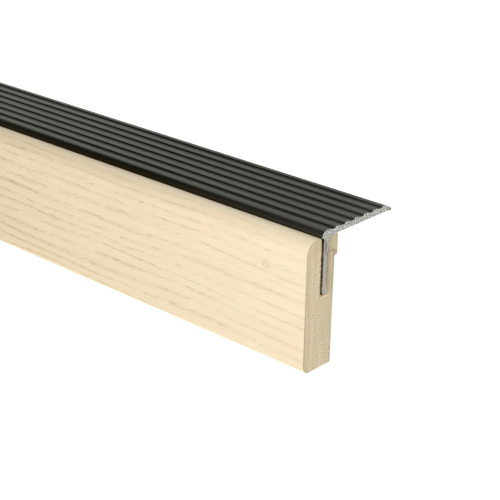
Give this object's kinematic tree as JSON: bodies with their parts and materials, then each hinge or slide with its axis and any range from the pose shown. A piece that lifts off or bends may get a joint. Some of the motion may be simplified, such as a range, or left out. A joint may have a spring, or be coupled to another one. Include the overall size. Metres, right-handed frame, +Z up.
{
  "type": "stair nosing",
  "caption": "Stair nosing bar: decor-wrapped fibreboard with a rounded top edge and a ribbed black anodised aluminium tread profile plugged into a slot in it.",
  "frame": {"origin": "centre of the bounding box's bottom, on the floor under the bar", "axes": "+X along the bar, towards the end that the picture shows; +Y from the decor front to the back, where the tread plate reaches; +Z up"},
  "size_m": [1, 0.0376, 0.0417],
  "materials": {
    "fibreboard": "sawn high density fibreboard",
    "wood_decor": "satin pale ash decor laminate",
    "strip_fibreboard": "sawn fibreboard",
    "black_aluminium": "satin black anodised, bare where sawn"
  },
  "bodies": {
    "root": {"nosing_board": "fibreboard", "decor_foil": "wood_decor", "back_strip": "strip_fibreboard", "tread_profile": "black_aluminium"}
  },
  "joints": []
}
